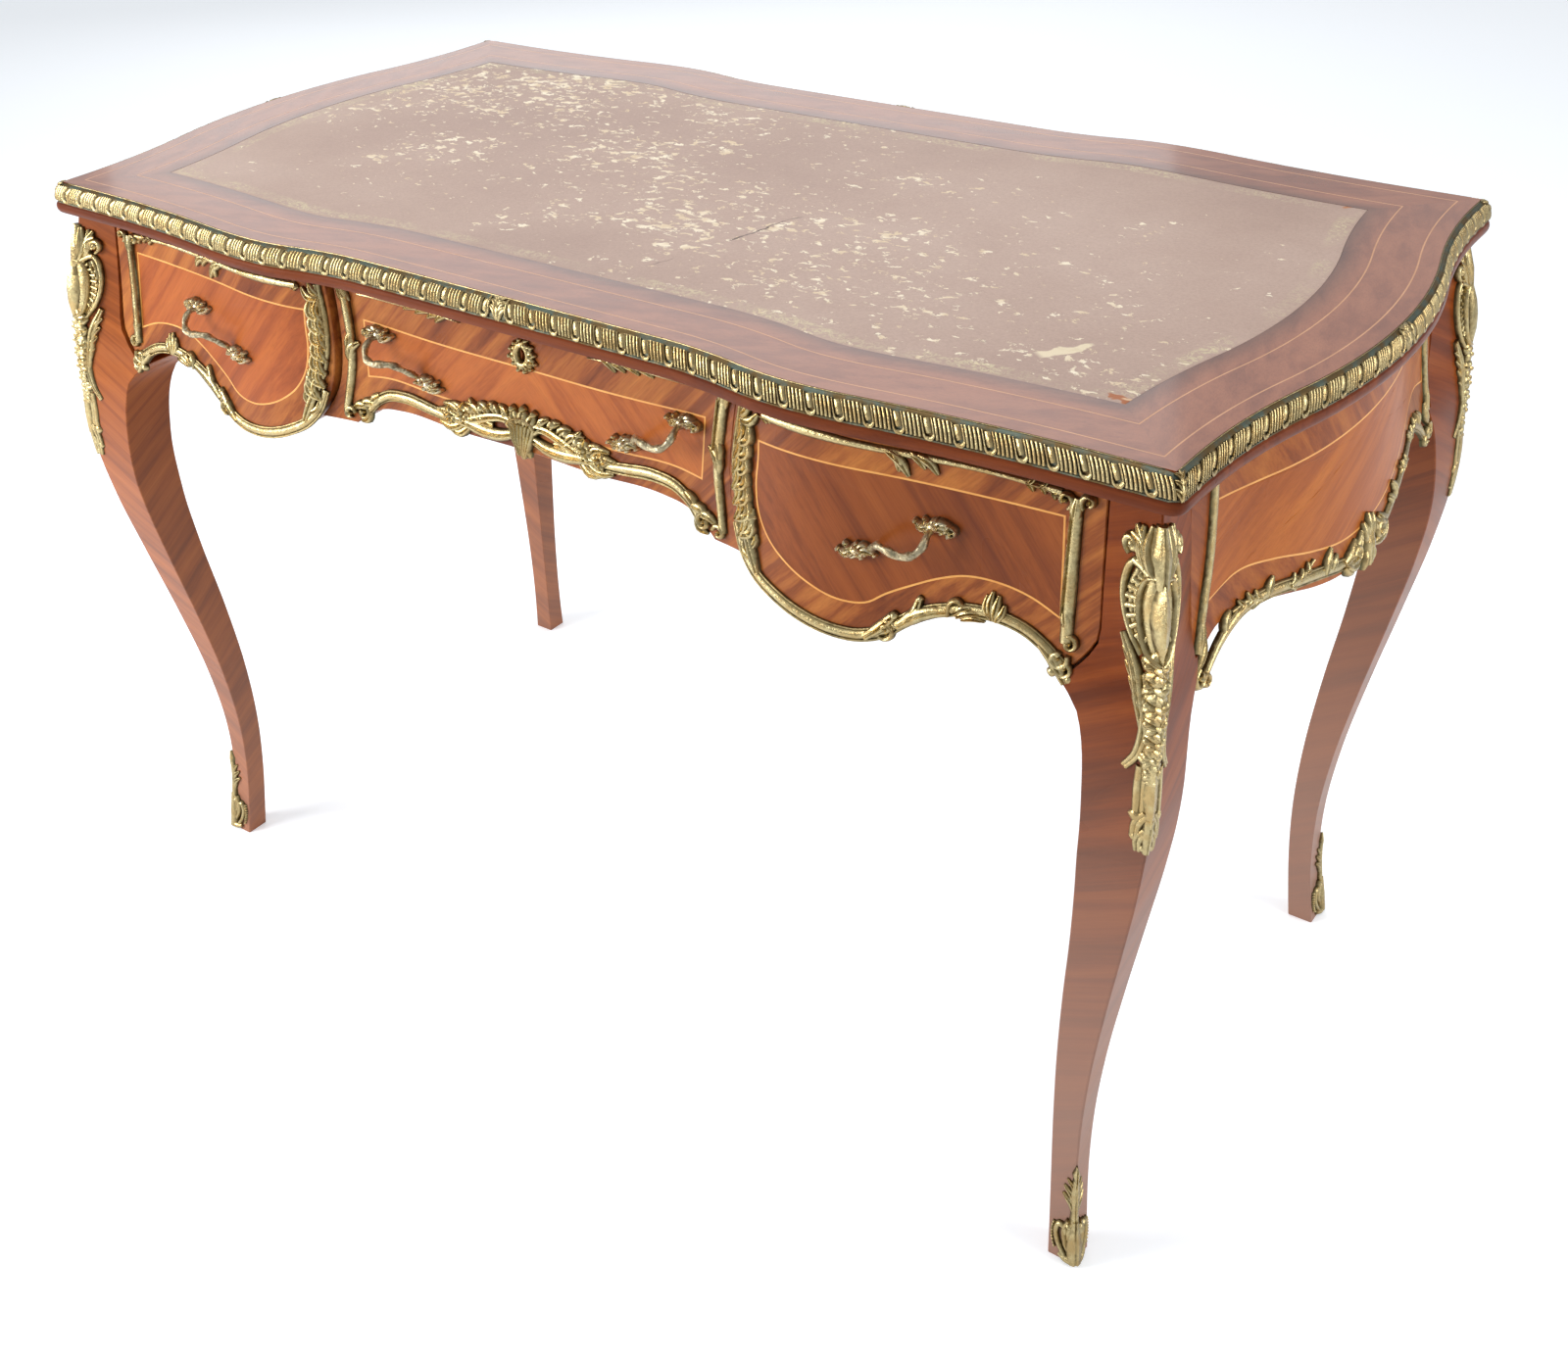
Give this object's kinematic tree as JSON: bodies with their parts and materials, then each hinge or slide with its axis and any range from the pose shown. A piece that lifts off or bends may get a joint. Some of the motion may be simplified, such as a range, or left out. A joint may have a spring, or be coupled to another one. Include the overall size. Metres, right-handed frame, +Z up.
{
  "type": "writing desk",
  "caption": "Serpentine writing desk with frieze drawers, cabriole legs, gilt bronze mounts and a leather-lined top.",
  "frame": {"origin": "on the floor, under the middle of the top", "axes": "+Z up, the drawers face -Y, +X to the right of someone looking along +Y"},
  "size_m": [1.2318, 0.6585, 0.78],
  "materials": {
    "veneer": "polished cross-grained veneer",
    "top_veneer": "polished dark veneer",
    "oak": "planed, unpolished",
    "leather": "worn, tooled in gold",
    "gilt_bronze": "cast and chased, old gilding",
    "steel": "dull"
  },
  "bodies": {
    "desk": {"back_board": "oak", "back_mounts": "gilt_bronze", "back_panels": "veneer", "dividers": "oak", "drawer_kickers": "oak", "drawer_runners": "oak", "drawer_stops": "oak", "front_top_rail": "oak", "glue_blocks": "oak", "knee_mounts": "gilt_bronze", "leather_inset": "leather", "leg_back_left": "veneer", "leg_back_right": "veneer", "leg_front_left": "veneer", "leg_front_right": "veneer", "rim_back": "gilt_bronze", "rim_front": "gilt_bronze", "rim_left": "gilt_bronze", "rim_right": "gilt_bronze", "sabots": "gilt_bronze", "side_mounts": "gilt_bronze", "side_panel_left": "veneer", "side_panel_right": "veneer", "top_panel": "top_veneer"},
    "drawer_left": {"drawer_left_back": "oak", "drawer_left_bottom": "oak", "drawer_left_front": "veneer", "drawer_left_handle": "gilt_bronze", "drawer_left_handle_bolts": "steel", "drawer_left_mounts": "gilt_bronze", "drawer_left_sides": "oak"},
    "drawer_centre": {"drawer_centre_back": "oak", "drawer_centre_bottom": "oak", "drawer_centre_escutcheon": "gilt_bronze", "drawer_centre_front": "veneer", "drawer_centre_handle_bolts": "steel", "drawer_centre_handles": "gilt_bronze", "drawer_centre_mounts": "gilt_bronze", "drawer_centre_sides": "oak", "lock_bolt": "steel", "lock_case": "steel", "lock_screws": "steel"},
    "drawer_right": {"drawer_right_back": "oak", "drawer_right_bottom": "oak", "drawer_right_front": "veneer", "drawer_right_handle": "gilt_bronze", "drawer_right_handle_bolts": "steel", "drawer_right_mounts": "gilt_bronze", "drawer_right_sides": "oak"}
  },
  "joints": [
    {"name": "drawer_left_slide", "type": "slide", "parent": "desk", "child": "drawer_left", "axis": [0, -1, 0], "range_m": [0, 0.3]},
    {"name": "drawer_centre_slide", "type": "slide", "parent": "desk", "child": "drawer_centre", "axis": [0, -1, 0], "range_m": [0, 0.3]},
    {"name": "drawer_right_slide", "type": "slide", "parent": "desk", "child": "drawer_right", "axis": [0, -1, 0], "range_m": [0, 0.3]}
  ]
}
